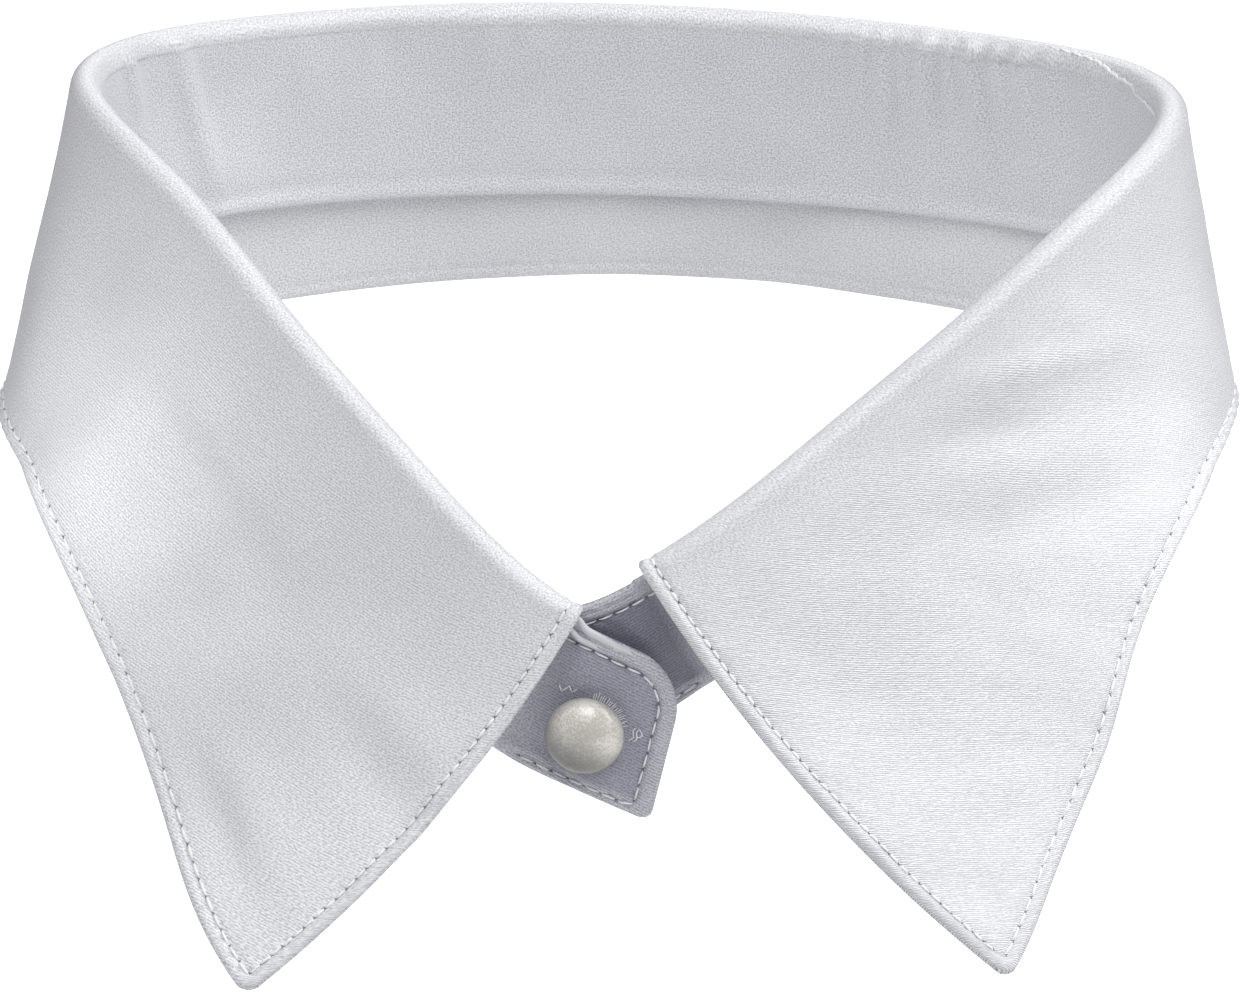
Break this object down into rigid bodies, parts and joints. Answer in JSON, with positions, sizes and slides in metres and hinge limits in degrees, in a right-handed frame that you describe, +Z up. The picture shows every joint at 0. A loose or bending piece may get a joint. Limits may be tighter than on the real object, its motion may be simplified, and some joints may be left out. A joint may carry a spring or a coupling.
{
  "type": "detachable shirt collar",
  "caption": "White turndown shirt collar worn on its own, a stand with a buttoned tab and a rolled leaf with pointed ends.",
  "frame": {"origin": "on the neck's axis, level with the stand's lower edge at the centre back", "axes": "+Z up the neck, -Y to the front where the tabs close, +X to the wearer's left"},
  "size_m": [0.1662, 0.1363, 0.0966],
  "materials": {
    "stand_cloth": "white satin-faced cotton",
    "leaf_cloth": "white satin-faced cotton",
    "pearl": "warm pearl"
  },
  "bodies": {
    "root": {"collar_stand": "stand_cloth", "collar_leaf": "leaf_cloth", "button": "pearl"}
  },
  "joints": []
}
